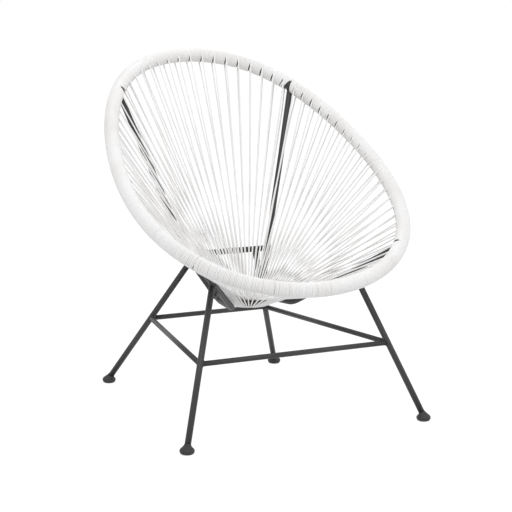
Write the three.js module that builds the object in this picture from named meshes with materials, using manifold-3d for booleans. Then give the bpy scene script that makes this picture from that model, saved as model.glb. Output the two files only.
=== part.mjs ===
// Acapulco chair: an egg-shaped steel hoop and a small lower ring joined by cord,
// carried by two bent side tubes on a four-legged base.
// Millimetres, +Z up, the sitter faces -Y, the sitter's left is +X.
// The origin is on the floor, under the middle of the hoop.

import * as THREE from 'three';
import { mergeVertices } from 'three/addons/utils/BufferGeometryUtils.js';
import Module from 'manifold-3d';

// Hoop: a flat egg, wide end to the front, tilted back
const hoopHalfWidth = 332;
const hoopFrontSwell = 96;
const hoopEndSwell = 56.5;
const hoopHalfLength = 448.5;
const hoopSideRise = 77;
const hoopTiltDegrees = 33.33;
const hoopCentreHeight = 608.8;
const hoopTubeDiameter = 28;

// Lower ring that the cords meet on
const ringRadius = 47;
const ringHeight = 267;
const ringTubeDiameter = 14;

// Cord
const cordDiameter = 3.8;
const cordPitch = 34.4;
const cordGap = 0.3;
const loopGap = 0.5;
const wrapEndFromJoint = 9.5;

// Side tubes, one bent tube on each side from the hoop's front to its back
const frameTubeDiameter = 15;
const frontJointTurnDegrees = 37;
const rearJointTurnDegrees = 124.25;
const frontBendX = 82.8;
const frontBendY = -76.5;
const frontBendHeight = 267.6;
const rearBendX = 61;
const rearBendY = 49.6;
const rearBendHeight = 262;
const climbBendX = 107.7;
const climbBendY = 119.7;
const climbBendHeight = 356.4;
const bowX = 187.5;
const bowY = 195.7;
const bowHeight = 600;
const tightBendRadius = 40;
const easyBendRadius = 200;
const bowBendRadius = 420;

// Rear crossbar, which lies behind both side tubes
const crossingHeight = 373;
const crossbarOverhang = 9;

// Legs and their glides
const legTopShare = 0.43;
const frontFootX = 314.6;
const frontFootAhead = 49.7;
const rearFootX = 245.2;
const rearFootY = 341.3;
const legAimHeight = 11.5;
const legEndHeight = 9.5;
const rearLegInset = 28.7;

// Stretchers
const stretcherHeight = 186.8;
const stretcherDiameter = 12.7;

// Feet
const footRimRadius = 17.5;
const footRimHeight = 8.5;
const footHeight = 23;
const footNeckWall = 1.6;

// Front joint plates and the bolts
const plateThickness = 3;
const plateReach = 46;
const plateDrop = 27;
const plateCornerRadius = 5;
const boltAlongTube = 29.5;
const boltBelowTube = 16;
const boltDiameter = 6;
const boltHeadDiameter = 11;
const boltHeadHeight = 3.6;
const nutWidth = 10;
const nutHeight = 5;
const boltTail = 2;
const headRimShare = 0.35;

// Clearances and cutting allowances
const fitGap = 0.3;
const holeClearance = 0.3;
const cordSlotClearance = 0.6;
const cutOverrun = 6;
const weldTolerance = 0.0005;

// Counts of facets
const hoopSides = 10;
const tubeSides = 12;
const cordSides = 4;
const hoopSamples = 1440;
const bendStepDegrees = 15;
const ringSteps = 36;
const ringCorners = 3;
const footSides = 20;
const boltSides = 14;
const nutSides = 6;
const headSteps = 4;
const plateCornerSteps = 3;

// Finishes
const framePaint = { color: 0x2e2e31, roughness: 0.55, metalness: 0.35 };
const cordFinish = { color: 0xeceae6, roughness: 0.5, metalness: 0 };
const glideFinish = { color: 0x242426, roughness: 0.7, metalness: 0 };
const boltFinish = { color: 0x3b3b3e, roughness: 0.4, metalness: 0.7 };

// Sizes that follow
const hoopTubeRadius = hoopTubeDiameter / 2;
const ringTubeRadius = ringTubeDiameter / 2;
const frameTubeRadius = frameTubeDiameter / 2;
const cordRadius = cordDiameter / 2;
const wrapBore = hoopTubeRadius + fitGap;
const wrapRadius = wrapBore + cordDiameter;
const tilt = THREE.MathUtils.degToRad(hoopTiltDegrees);
const hoopNormal = new THREE.Vector3(0, -Math.sin(tilt), Math.cos(tilt));

const wasm = await Module();
wasm.setup();

const chair = new THREE.Group();
chair.name = 'acapulco_chair';

function addPiece(name, geometry, finish) {
  geometry.computeVertexNormals();
  const mesh = new THREE.Mesh(geometry, new THREE.MeshStandardMaterial(finish));
  mesh.name = name;
  chair.add(mesh);
  return mesh;
}

// A closed geometry as a solid for cutting and joining
function toSolid(geometry) {
  const bare = geometry.clone();
  bare.deleteAttribute('normal');
  bare.deleteAttribute('uv');
  const merged = mergeVertices(bare, weldTolerance);
  return new wasm.Manifold(new wasm.Mesh({
    numProp: 3,
    vertProperties: new Float32Array(merged.attributes.position.array),
    triVerts: new Uint32Array(merged.index.array),
  }));
}

// A solid as a geometry
function toGeometry(solid) {
  const mesh = solid.getMesh();
  const geometry = new THREE.BufferGeometry();
  geometry.setAttribute('position', new THREE.BufferAttribute(mesh.vertProperties, 3));
  geometry.setIndex(new THREE.BufferAttribute(mesh.triVerts, 1));
  return geometry;
}

// An oval of points about a centre, from two half-axis vectors
function oval(centre, first, second, sides) {
  return Array.from({ length: sides }, (_, k) => {
    const angle = (2 * Math.PI * k) / sides;
    return centre.clone()
      .addScaledVector(first, Math.cos(angle))
      .addScaledVector(second, Math.sin(angle));
  });
}

// A skin over a row of ovals, closed on itself or capped at both ends
function loft(rings, closed) {
  const sides = rings[0].length;
  const points = rings.flat();
  const faces = [];
  const spans = closed ? rings.length : rings.length - 1;
  for (let i = 0; i < spans; i++) {
    const here = i * sides;
    const next = ((i + 1) % rings.length) * sides;
    for (let k = 0; k < sides; k++) {
      const l = (k + 1) % sides;
      faces.push(here + k, here + l, next + l, here + k, next + l, next + k);
    }
  }
  if (!closed) {
    const last = (rings.length - 1) * sides;
    for (let k = 1; k < sides - 1; k++) {
      faces.push(0, k + 1, k, last, last + k, last + k + 1);
    }
  }
  const geometry = new THREE.BufferGeometry().setFromPoints(points);
  geometry.setIndex(faces);
  return geometry;
}

// A path through chosen stations, so that bends get steps and straights none
class StationPath extends THREE.Curve {
  constructor(stations) {
    super();
    this.stations = stations;
  }

  getPoint(share) {
    const place = share * (this.stations.length - 1);
    const i = Math.min(Math.floor(place), this.stations.length - 2);
    return this.stations[i].clone().lerp(this.stations[i + 1], place - i);
  }

  getPointAt(share) {
    return this.getPoint(share);
  }

  getSpacedPoints() {
    return this.stations;
  }

  getTangentAt(share) {
    const last = this.stations.length - 1;
    const i = Math.round(share * last);
    const before = this.stations[Math.max(i - 1, 0)];
    const here = this.stations[i];
    const after = this.stations[Math.min(i + 1, last)];
    const arriving = here.clone().sub(before).normalize();
    const leaving = after.clone().sub(here).normalize();
    return arriving.add(leaving).normalize();
  }
}

// A round bar along a path of stations
function bar(stations, radius, sides = tubeSides) {
  const section = new THREE.Shape();
  section.absarc(0, 0, radius, 0, 2 * Math.PI, false);
  return new THREE.ExtrudeGeometry(section, {
    steps: stations.length - 1,
    curveSegments: sides / 2,
    bevelEnabled: false,
    extrudePath: new StationPath(stations),
  });
}

// Stations along a bent tube: straight runs joined by arcs at the corners
function bentStations(corners, radii) {
  const stations = [corners[0]];
  for (let i = 1; i < corners.length - 1; i++) {
    const arriving = corners[i].clone().sub(corners[i - 1]).normalize();
    const leaving = corners[i + 1].clone().sub(corners[i]).normalize();
    const turn = arriving.angleTo(leaving);
    const setback = radii[i - 1] * Math.tan(turn / 2);
    const start = corners[i].clone().addScaledVector(arriving, -setback);
    const inward = leaving.clone().addScaledVector(arriving, -leaving.dot(arriving)).normalize();
    const centre = start.clone().addScaledVector(inward, radii[i - 1]);
    const steps = Math.max(2, Math.ceil(turn / THREE.MathUtils.degToRad(bendStepDegrees)));
    for (let k = 0; k <= steps; k++) {
      const angle = (turn * k) / steps;
      stations.push(centre.clone()
        .addScaledVector(inward, -radii[i - 1] * Math.cos(angle))
        .addScaledVector(arriving, radii[i - 1] * Math.sin(angle)));
    }
  }
  stations.push(corners[corners.length - 1]);
  return stations;
}

function mirrored(point) {
  return new THREE.Vector3(-point.x, point.y, point.z);
}

// The hoop's centre-line at a turn measured from the front middle towards +X
function hoopPoint(turn) {
  const c = Math.cos(turn);
  const s = Math.sin(turn);
  const across = s * (hoopHalfWidth + hoopFrontSwell * c + hoopEndSwell * c * c);
  const along = -hoopHalfLength * c + hoopSideRise * s * s;
  return new THREE.Vector3(
    across,
    along * Math.cos(tilt),
    hoopCentreHeight + along * Math.sin(tilt),
  );
}

const hoopLengths = [0];
for (let i = 1; i <= hoopSamples; i++) {
  const before = hoopPoint((2 * Math.PI * (i - 1)) / hoopSamples);
  const here = hoopPoint((2 * Math.PI * i) / hoopSamples);
  hoopLengths.push(hoopLengths[i - 1] + before.distanceTo(here));
}
const hoopLength = hoopLengths[hoopSamples];

// Distance along the hoop at a turn, and the turn at a distance
function distanceAt(turn) {
  const place = (turn / (2 * Math.PI)) * hoopSamples;
  const i = Math.min(Math.floor(place), hoopSamples - 1);
  return hoopLengths[i] + (hoopLengths[i + 1] - hoopLengths[i]) * (place - i);
}

function turnAt(distance) {
  const wanted = THREE.MathUtils.euclideanModulo(distance, hoopLength);
  let i = hoopLengths.findIndex((length) => length > wanted) - 1;
  i = i < 0 ? hoopSamples - 1 : i;
  const part = (wanted - hoopLengths[i]) / (hoopLengths[i + 1] - hoopLengths[i]);
  return (2 * Math.PI * (i + part)) / hoopSamples;
}

// Sectors of lacing between the side tubes' joints, each with its pairs of strands and
// the lengths of cord that it is laced with
const frontJointTurn = THREE.MathUtils.degToRad(frontJointTurnDegrees);
const rearJointTurn = THREE.MathUtils.degToRad(rearJointTurnDegrees);
const frontJoint = distanceAt(frontJointTurn);
const rearJoint = distanceAt(rearJointTurn);
const sectors = [
  { from: -frontJoint, to: frontJoint, cords: ['lacing_front'] },
  { from: frontJoint, to: rearJoint, cords: ['lacing_left'] },
  {
    from: rearJoint,
    to: hoopLength - rearJoint,
    cords: ['lacing_back_left', 'lacing_back_right'],
  },
  { from: hoopLength - rearJoint, to: hoopLength - frontJoint, cords: ['lacing_right'] },
];
for (const sector of sectors) {
  sector.pairs = Math.round((sector.to - sector.from) / cordPitch);
  sector.marks = Array.from({ length: sector.pairs + 1 }, (_, i) => {
    const distance = sector.from + ((sector.to - sector.from) * i) / sector.pairs;
    return hoopPoint(turnAt(distance));
  });
}
const pairsInAll = sectors.reduce((sum, sector) => sum + sector.pairs, 0);
let pairsBefore = -sectors[0].pairs / 2;
for (const sector of sectors) {
  sector.firstPair = pairsBefore;
  pairsBefore += sector.pairs;
}

// A ring of points round the hoop's tube at each of its centres
function hoopRings(centres, radius, closed) {
  const count = centres.length;
  return centres.map((centre, i) => {
    const before = centres[closed ? (i + count - 1) % count : Math.max(i - 1, 0)];
    const after = centres[closed ? (i + 1) % count : Math.min(i + 1, count - 1)];
    const arriving = centre.clone().sub(before).normalize();
    const leaving = after.clone().sub(centre).normalize();
    const out = arriving.add(leaving).cross(hoopNormal).setLength(radius);
    const up = hoopNormal.clone().multiplyScalar(radius);
    return oval(centre, up, out, hoopSides);
  });
}
const hoopMarks = sectors.flatMap((sector) => sector.marks.slice(0, -1));

// Hoop tube
const hoopSkin = (radius) => loft(hoopRings(hoopMarks, radius, true), true);
addPiece('hoop', hoopSkin(hoopTubeRadius), framePaint);

// Lower ring
const ring = addPiece(
  'lower_ring',
  new THREE.TorusGeometry(ringRadius, ringTubeRadius, tubeSides, ringSteps),
  framePaint,
);
ring.position.set(0, 0, ringHeight);

// Side tubes, saddle cut where they meet the hoop
const tubeCorners = [
  hoopPoint(frontJointTurn),
  new THREE.Vector3(frontBendX, frontBendY, frontBendHeight),
  new THREE.Vector3(rearBendX, rearBendY, rearBendHeight),
  new THREE.Vector3(climbBendX, climbBendY, climbBendHeight),
  new THREE.Vector3(bowX, bowY, bowHeight),
  hoopPoint(rearJointTurn),
];
const tubeRadii = [tightBendRadius, tightBendRadius, easyBendRadius, bowBendRadius];
const leftStations = bentStations(tubeCorners, tubeRadii);
const tubeStations = { left: leftStations, right: leftStations.map(mirrored) };
const hoopCutter = toSolid(hoopSkin(hoopTubeRadius + fitGap));

// Rear crossbar axis: behind the side tubes, touching both
const above = leftStations.findIndex((point, i) =>
  i > 0 && leftStations[i - 1].z < crossingHeight && point.z >= crossingHeight);
const climb = leftStations[above].clone().sub(leftStations[above - 1]);
const crossing = leftStations[above - 1].clone()
  .addScaledVector(climb, (crossingHeight - leftStations[above - 1].z) / climb.z);
const backward = new THREE.Vector3(0, climb.z, -climb.y).normalize();
const crossbarMiddle = new THREE.Vector3(0, crossing.y, crossing.z)
  .addScaledVector(backward, frameTubeDiameter + fitGap);
const crossbarHalf = crossing.x + crossbarOverhang;
const crossbarEnd = crossbarMiddle.clone().setX(crossbarHalf);
const crossbarStations = [mirrored(crossbarEnd), crossbarEnd];

// Bolts run along an axis through the pieces that they hold
function boltRod(from, to, radius) {
  return bar([from, to], radius, boltSides);
}

function domedHead(radius, height) {
  const profile = [new THREE.Vector2(0, 0), new THREE.Vector2(radius, 0)];
  const rim = height * headRimShare;
  for (let k = 0; k < headSteps; k++) {
    const angle = (Math.PI / 2) * (k / headSteps);
    const lift = rim + (height - rim) * Math.sin(angle);
    profile.push(new THREE.Vector2(radius * Math.cos(angle), lift));
  }
  profile.push(new THREE.Vector2(0, height));
  return new THREE.LatheGeometry(profile, boltSides);
}

// A geometry made along +Y, turned to an axis and moved to a point
function aimed(geometry, axis, point) {
  const turn = new THREE.Quaternion()
    .setFromUnitVectors(new THREE.Vector3(0, 1, 0), axis.clone().normalize());
  return geometry.applyQuaternion(turn).translate(point.x, point.y, point.z);
}

function addBolt(name, start, end) {
  const axis = end.clone().sub(start).normalize();
  const tip = end.clone().addScaledVector(axis, fitGap + nutHeight + boltTail);
  const seat = start.clone().addScaledVector(axis, -fitGap);
  const head = toSolid(aimed(
    domedHead(boltHeadDiameter / 2, boltHeadHeight),
    axis.clone().negate(),
    seat,
  ));
  const shankStart = seat.clone().addScaledVector(axis, -boltHeadHeight / 2);
  const shank = toSolid(boltRod(shankStart, tip, boltDiameter / 2));
  addPiece(`${name}_bolt`, toGeometry(head.add(shank)), boltFinish);

  const nutStart = end.clone().addScaledVector(axis, fitGap);
  const nutEnd = nutStart.clone().addScaledVector(axis, nutHeight);
  const nutRadius = nutWidth / 2 / Math.cos(Math.PI / nutSides);
  const nutBody = toSolid(bar([nutStart, nutEnd], nutRadius, nutSides));
  const nutBore = toSolid(boltRod(
    nutStart.clone().addScaledVector(axis, -cutOverrun),
    nutEnd.clone().addScaledVector(axis, cutOverrun),
    boltDiameter / 2 + holeClearance,
  ));
  addPiece(`${name}_nut`, toGeometry(nutBody.subtract(nutBore)), boltFinish);
}

function boltHole(start, end) {
  const axis = end.clone().sub(start).normalize();
  return toSolid(boltRod(
    start.clone().addScaledVector(axis, -cutOverrun),
    end.clone().addScaledVector(axis, cutOverrun),
    boltDiameter / 2 + holeClearance,
  ));
}

// Rear bolts go straight back through each side tube and the crossbar
const sideSigns = { left: 1, right: -1 };
const rearBolts = {};
for (const [side, sign] of Object.entries(sideSigns)) {
  const onTube = new THREE.Vector3(sign * crossing.x, crossing.y, crossing.z);
  rearBolts[side] = {
    start: onTube.clone().addScaledVector(backward, -frameTubeRadius),
    end: onTube.clone().addScaledVector(backward, frameTubeDiameter + fitGap + frameTubeRadius),
  };
}

for (const side of Object.keys(sideSigns)) {
  const tube = toSolid(bar(tubeStations[side], frameTubeRadius)).subtract(hoopCutter);
  const hole = boltHole(rearBolts[side].start, rearBolts[side].end);
  addPiece(`side_tube_${side}`, toGeometry(tube.subtract(hole)), framePaint);
}
const crossbarSolid = Object.values(rearBolts).reduce(
  (solid, bolt) => solid.subtract(boltHole(bolt.start, bolt.end)),
  toSolid(bar(crossbarStations, frameTubeRadius)),
);
addPiece('rear_crossbar', toGeometry(crossbarSolid), framePaint);
for (const [side, bolt] of Object.entries(rearBolts)) {
  addBolt(`rear_${side}`, bolt.start, bolt.end);
}

// Legs: each runs from its glide to the tube that it carries
const frontLegTop = tubeCorners[0].clone().lerp(tubeCorners[1], legTopShare);
const rearLegTop = crossbarMiddle.clone().setX(crossing.x - rearLegInset);
const frontFootY = tubeCorners[0].y - frontFootAhead;
const legs = [
  { name: 'front_leg_left', foot: [frontFootX, frontFootY], top: frontLegTop, side: 'left' },
  { name: 'front_leg_right', foot: [-frontFootX, frontFootY], top: mirrored(frontLegTop), side: 'right' },
  { name: 'rear_leg_left', foot: [rearFootX, rearFootY], top: rearLegTop },
  { name: 'rear_leg_right', foot: [-rearFootX, rearFootY], top: mirrored(rearLegTop) },
];
function pointAtHeight(leg, height) {
  const share = (height - legAimHeight) / (leg.top.z - legAimHeight);
  return new THREE.Vector3(leg.foot[0], leg.foot[1], legAimHeight).lerp(leg.top, share);
}
const crossbarCutter = toSolid(bar(crossbarStations, frameTubeRadius + fitGap));
for (const leg of legs) {
  leg.bottom = pointAtHeight(leg, legEndHeight);
  leg.rise = leg.top.clone().sub(leg.bottom).normalize();
  const cutter = leg.side
    ? toSolid(bar(tubeStations[leg.side], frameTubeRadius + fitGap))
    : crossbarCutter;
  const solid = toSolid(bar([leg.bottom, leg.top], frameTubeRadius)).subtract(cutter);
  addPiece(leg.name, toGeometry(solid), framePaint);
}

// Stretchers tie the legs together at one height
function legCutter(leg) {
  return toSolid(bar([leg.bottom, leg.top], frameTubeRadius + fitGap));
}
const [frontLeft, frontRight, rearLeft, rearRight] = legs;
const stretcherRadius = stretcherDiameter / 2;
function stretcher(from, to, radius) {
  const ends = [pointAtHeight(from, stretcherHeight), pointAtHeight(to, stretcherHeight)];
  return toSolid(bar(ends, radius));
}
const crossStretchers = [
  ['front_stretcher', frontRight, frontLeft],
  ['rear_stretcher', rearRight, rearLeft],
];
for (const [name, from, to] of crossStretchers) {
  const solid = stretcher(from, to, stretcherRadius)
    .subtract(legCutter(from))
    .subtract(legCutter(to));
  addPiece(name, toGeometry(solid), framePaint);
}
const sideStretchers = [
  ['side_stretcher_left', frontLeft, rearLeft],
  ['side_stretcher_right', frontRight, rearRight],
];
for (const [name, from, to] of sideStretchers) {
  const solid = stretcher(from, to, stretcherRadius)
    .subtract(legCutter(from))
    .subtract(legCutter(to))
    .subtract(stretcher(frontRight, frontLeft, stretcherRadius + fitGap))
    .subtract(stretcher(rearRight, rearLeft, stretcherRadius + fitGap));
  addPiece(name, toGeometry(solid), framePaint);
}

// Feet: a round glide whose neck leans over to meet the leg
const footProfileShares = [
  [0, 0], [0.66, 0], [0.86, 0.22], [0.97, 0.6], [1, 1], [0.95, 1.38], [0.8, 1.8], [0.64, 2.2],
];
function footGeometry(leg) {
  const lean = Math.acos(leg.rise.z);
  const neckRadius = frameTubeRadius + fitGap + footNeckWall;
  const profile = footProfileShares.map(([r, z]) =>
    new THREE.Vector2(footRimRadius * r, footRimHeight * z));
  profile.push(new THREE.Vector2(neckRadius, footHeight));
  profile.push(new THREE.Vector2(0, footHeight));
  const geometry = new THREE.LatheGeometry(profile, footSides).rotateX(Math.PI / 2);
  const place = geometry.attributes.position;
  for (let i = 0; i < place.count; i++) {
    const height = place.getZ(i);
    const above = Math.max(height - footRimHeight, 0);
    const share = above / (footHeight - footRimHeight);
    const angle = lean * Math.min(share, 1);
    const reach = place.getX(i);
    const drift = above > 0 ? Math.tan(lean) * Math.max(height - legAimHeight, 0) : 0;
    place.setX(i, drift + reach * Math.cos(angle));
    place.setZ(i, height - reach * Math.sin(angle));
  }
  return geometry;
}
for (const leg of legs) {
  const heading = Math.atan2(leg.rise.y, leg.rise.x);
  const geometry = footGeometry(leg);
  const local = leg.rise.clone().applyAxisAngle(new THREE.Vector3(0, 0, 1), -heading);
  const aim = new THREE.Vector3(0, 0, legAimHeight);
  const end = aim.clone().addScaledVector(local, (legEndHeight - legAimHeight) / local.z - fitGap);
  const mouth = aim.clone().addScaledVector(local, footHeight + cutOverrun);
  const socket = toSolid(bar([end, mouth], frameTubeRadius + fitGap));
  const solid = toSolid(geometry).subtract(socket);
  const foot = addPiece(leg.name.replace('leg', 'foot'), toGeometry(solid), glideFinish);
  foot.position.set(leg.foot[0], leg.foot[1], 0);
  foot.rotation.z = heading;
}

// Front joint plates: one on the side tube and one on the leg, bolted face to face
function plateGeometry(corners) {
  const shape = new THREE.Shape();
  corners.forEach((corner, i) => {
    const before = corners[(i + corners.length - 1) % corners.length];
    const after = corners[(i + 1) % corners.length];
    const start = corner.clone().add(before.clone().sub(corner).setLength(plateCornerRadius));
    const end = corner.clone().add(after.clone().sub(corner).setLength(plateCornerRadius));
    if (i === 0) {
      shape.moveTo(start.x, start.y);
    } else {
      shape.lineTo(start.x, start.y);
    }
    shape.quadraticCurveTo(corner.x, corner.y, end.x, end.y);
  });
  return new THREE.ExtrudeGeometry(shape, {
    depth: plateThickness, bevelEnabled: false, curveSegments: plateCornerSteps,
  });
}
for (const [side, leg] of [['left', frontLeft], ['right', frontRight]]) {
  const sign = sideSigns[side];
  const stations = tubeStations[side];
  const along = stations[1].clone().sub(stations[0]).normalize();
  const down = leg.rise.clone().negate().addScaledVector(along, leg.rise.dot(along)).normalize();
  const normal = along.clone().cross(down).normalize();
  const layer = plateThickness / 2 + fitGap / 2;
  const onLayer = (height) => height - plateThickness / 2;
  const basis = new THREE.Matrix4().makeBasis(along, down, normal).setPosition(leg.top);
  const clear = frameTubeRadius + fitGap;
  const tubePlate = plateGeometry([
    new THREE.Vector2(clear + plateCornerRadius, clear),
    new THREE.Vector2(clear + plateReach, clear),
    new THREE.Vector2(boltAlongTube + plateCornerRadius, clear + plateDrop - plateCornerRadius),
    new THREE.Vector2(clear + plateCornerRadius, clear + plateDrop - plateCornerRadius),
  ]).translate(0, 0, onLayer(sign * layer));
  const legPlate = plateGeometry([
    new THREE.Vector2(clear, clear + fitGap),
    new THREE.Vector2(boltAlongTube + 2 * plateCornerRadius, clear + fitGap),
    new THREE.Vector2(boltAlongTube + 2 * plateCornerRadius, boltBelowTube + plateCornerRadius),
    new THREE.Vector2(clear, clear + plateDrop),
  ]).translate(0, 0, onLayer(-sign * layer));
  const face = sign * (plateThickness + fitGap / 2);
  const start = new THREE.Vector3(boltAlongTube, boltBelowTube, face).applyMatrix4(basis);
  const end = new THREE.Vector3(boltAlongTube, boltBelowTube, -face).applyMatrix4(basis);
  const hole = boltHole(start, end);
  const tubeCut = toSolid(bar(stations, frameTubeRadius + fitGap));
  const pieces = [[`tube_plate_${side}`, tubePlate], [`leg_plate_${side}`, legPlate]];
  for (const [name, geometry] of pieces) {
    const solid = toSolid(geometry.applyMatrix4(basis))
      .subtract(hole).subtract(tubeCut).subtract(legCutter(leg));
    addPiece(name, toGeometry(solid), framePaint);
  }
  addBolt(`front_${side}`, start, end);
}

// Lacing: in each sector a wrap round the hoop, and cords that run down over the
// lower ring, round its inner side and back up to the hoop's underside
const loopRadius = ringTubeRadius + cordGap + cordRadius;
const wallOuter = wrapRadius * Math.cos(Math.PI / hoopSides);
const departRadius = (wrapBore + wallOuter) / 2;
const rootHalf = (wallOuter - wrapBore) / 2 - cordGap / 2;

// One cord from the hoop round the lower ring and back, as an unbroken tube
function cordLoop(centre, travel, pairNumber) {
  const angle = (2 * Math.PI * pairNumber) / pairsInAll;
  const outward = new THREE.Vector3(Math.sin(angle), -Math.cos(angle), 0);
  const sideways = new THREE.Vector3(Math.cos(angle), Math.sin(angle), 0);
  const core = outward.clone().multiplyScalar(ringRadius).setZ(ringHeight);
  const lift = travel.clone().cross(core.clone().sub(centre)).setLength(departRadius);
  const upper = centre.clone().sub(lift);
  const lower = centre.clone().add(lift);
  const tangentAngle = (point, face) => {
    const offset = point.clone().sub(core);
    const flat = offset.dot(outward);
    const reach = Math.hypot(flat, offset.z);
    return Math.atan2(offset.z, flat) + face * Math.acos(loopRadius / reach);
  };
  const start = tangentAngle(upper, 1);
  const sweep = tangentAngle(lower, -1) + 2 * Math.PI - start;
  const cornerRadius = loopRadius / Math.cos(sweep / (2 * ringCorners));
  const corners = Array.from({ length: ringCorners }, (_, k) => {
    const turn = start + (sweep * (k + 0.5)) / ringCorners;
    return core.clone()
      .addScaledVector(outward, cornerRadius * Math.cos(turn))
      .setZ(core.z + cornerRadius * Math.sin(turn));
  });
  const route = [upper, ...corners, lower];
  const rings = route.map((point, i) => {
    const arriving = point.clone().sub(route[Math.max(i - 1, 0)]).normalize();
    const leaving = route[Math.min(i + 1, route.length - 1)].clone().sub(point).normalize();
    const along = arriving.clone().add(leaving).normalize();
    const atHoop = i === 0 || i === route.length - 1;
    const across = atHoop ? travel : sideways;
    const side = across.clone().addScaledVector(along, -across.dot(along)).normalize();
    const thick = along.clone().cross(side);
    const room = (Math.PI * Math.hypot(point.x, point.y)) / pairsInAll - loopGap / 2;
    const halfWidth = Math.min(cordRadius, room);
    const halfThick = atHoop ? rootHalf : cordRadius / along.dot(leaving);
    const first = side.multiplyScalar(halfWidth);
    return oval(point, first, thick.multiplyScalar(halfThick), cordSides);
  });
  return { skin: loft(rings, false), route, points: rings.flat() };
}

// The wrap's outer skin, or its bore, over a run of a sector's marks. The sector's own
// ends move in from the joints, and an end beside the next cord keeps half a gap.
function wrapSkin(marks, first, last, radius, endInset) {
  const centres = marks.map((mark) => mark.clone());
  const end = marks.length - 1;
  centres[0].add(marks[1].clone().sub(marks[0]).setLength(endInset));
  centres[end].add(marks[end - 1].clone().sub(marks[end]).setLength(endInset));
  const rings = hoopRings(centres, radius, false).slice(first, last + 1);
  if (first > 0) {
    const inward = marks[first + 1].clone().sub(marks[first]).setLength(fitGap / 2);
    rings[0].forEach((point) => point.add(inward));
  }
  if (last < end) {
    const inward = marks[last - 1].clone().sub(marks[last]).setLength(fitGap / 2);
    rings[rings.length - 1].forEach((point) => point.add(inward));
  }
  return toSolid(loft(rings, false));
}

let strandLength = 0;
const loopPoints = [];
for (const { marks, pairs, firstPair, cords } of sectors) {
  cords.forEach((name, number) => {
    const first = Math.round((pairs * number) / cords.length);
    const last = Math.round((pairs * (number + 1)) / cords.length);
    let solid = wrapSkin(marks, first, last, wrapRadius, wrapEndFromJoint)
      .subtract(wrapSkin(marks, 0, pairs, wrapBore, wrapEndFromJoint - cutOverrun));
    for (const stations of Object.values(tubeStations)) {
      solid = solid.subtract(toSolid(bar(stations, frameTubeRadius + cordSlotClearance)));
    }
    for (let i = first; i < last; i++) {
      const centre = marks[i].clone().lerp(marks[i + 1], 0.5);
      const travel = marks[i + 1].clone().sub(marks[i]).normalize();
      const loop = cordLoop(centre, travel, firstPair + i + 0.5);
      for (let k = 1; k < loop.route.length; k++) {
        strandLength += loop.route[k].distanceTo(loop.route[k - 1]);
      }
      loopPoints.push(loop.points);
      solid = solid.add(toSolid(loop.skin));
    }
    addPiece(name, toGeometry(solid), cordFinish);
  });
}
const leastGap = Math.min(...loopPoints.map((points, i) => {
  const next = loopPoints[(i + 1) % loopPoints.length];
  return Math.min(...points.flatMap((a) => next.map((b) => a.distanceTo(b))));
}));
console.log(`cord loops ${pairsInAll}, cord in the strands ${(strandLength / 1000).toFixed(1)} m`);
console.log(`least gap between neighbouring loops ${leastGap.toFixed(2)} mm`);

export default chair;
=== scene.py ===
"""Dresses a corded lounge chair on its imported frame.

The frame is in metres, +Z up, the sitter faces -Y and the sitter's left is +X.
"""

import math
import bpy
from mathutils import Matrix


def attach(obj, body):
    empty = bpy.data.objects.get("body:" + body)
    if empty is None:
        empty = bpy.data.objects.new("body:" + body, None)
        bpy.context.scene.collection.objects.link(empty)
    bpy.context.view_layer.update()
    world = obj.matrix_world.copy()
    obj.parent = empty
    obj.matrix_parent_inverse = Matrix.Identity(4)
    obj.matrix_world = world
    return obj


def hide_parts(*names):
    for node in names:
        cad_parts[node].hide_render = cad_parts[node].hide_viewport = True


bl_info = {
    "name": "Corded Lounge Chair",
    "version": (1, 0, 0),
    "blender": (4, 5, 0),
    "location": "View3D > Sidebar > Chair",
    "description": "Winds the hoop, laces the seat and finishes the steel of a corded lounge chair",
    "category": "Add Mesh",
}

import bpy
import numpy as np
from bpy.props import FloatProperty, FloatVectorProperty, IntProperty, PointerProperty
from bpy.types import Operator, Panel, PropertyGroup
from mathutils import Matrix, Vector

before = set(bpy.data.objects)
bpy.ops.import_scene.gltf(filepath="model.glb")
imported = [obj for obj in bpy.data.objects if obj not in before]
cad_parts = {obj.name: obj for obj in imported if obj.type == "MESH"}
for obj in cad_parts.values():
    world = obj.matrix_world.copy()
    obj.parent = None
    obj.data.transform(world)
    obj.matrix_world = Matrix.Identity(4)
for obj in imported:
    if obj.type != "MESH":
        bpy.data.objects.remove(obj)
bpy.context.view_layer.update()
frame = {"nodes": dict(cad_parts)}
SIDES = {"left": 1.0, "right": -1.0}
UP = np.array([0.0, 0.0, 1.0])
LACED = (
    ("front_cord", ["lacing_front"]),
    ("left_cord", ["lacing_left"]),
    ("back_cord", ["lacing_back_left", "lacing_back_right"]),
    ("right_cord", ["lacing_right"]),
)


# Settings
def metres(name, description, default):
    """A length that a user may change."""
    return FloatProperty(name=name, description=description, default=default, unit="LENGTH")


def degrees(name, description, default):
    """An angle that a user may change, with its default in degrees."""
    return FloatProperty(
        name=name, description=description, default=math.radians(default), unit="ROTATION")


def spot(name, description, default):
    """A place that a user may change."""
    return FloatVectorProperty(
        name=name, description=description, default=default, size=3, subtype="XYZ_LENGTH")


def tint(name, description, default):
    """A colour that a user may change."""
    return FloatVectorProperty(
        name=name, description=description, default=default, size=3, min=0.0, max=1.0,
        subtype="COLOR")


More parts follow.
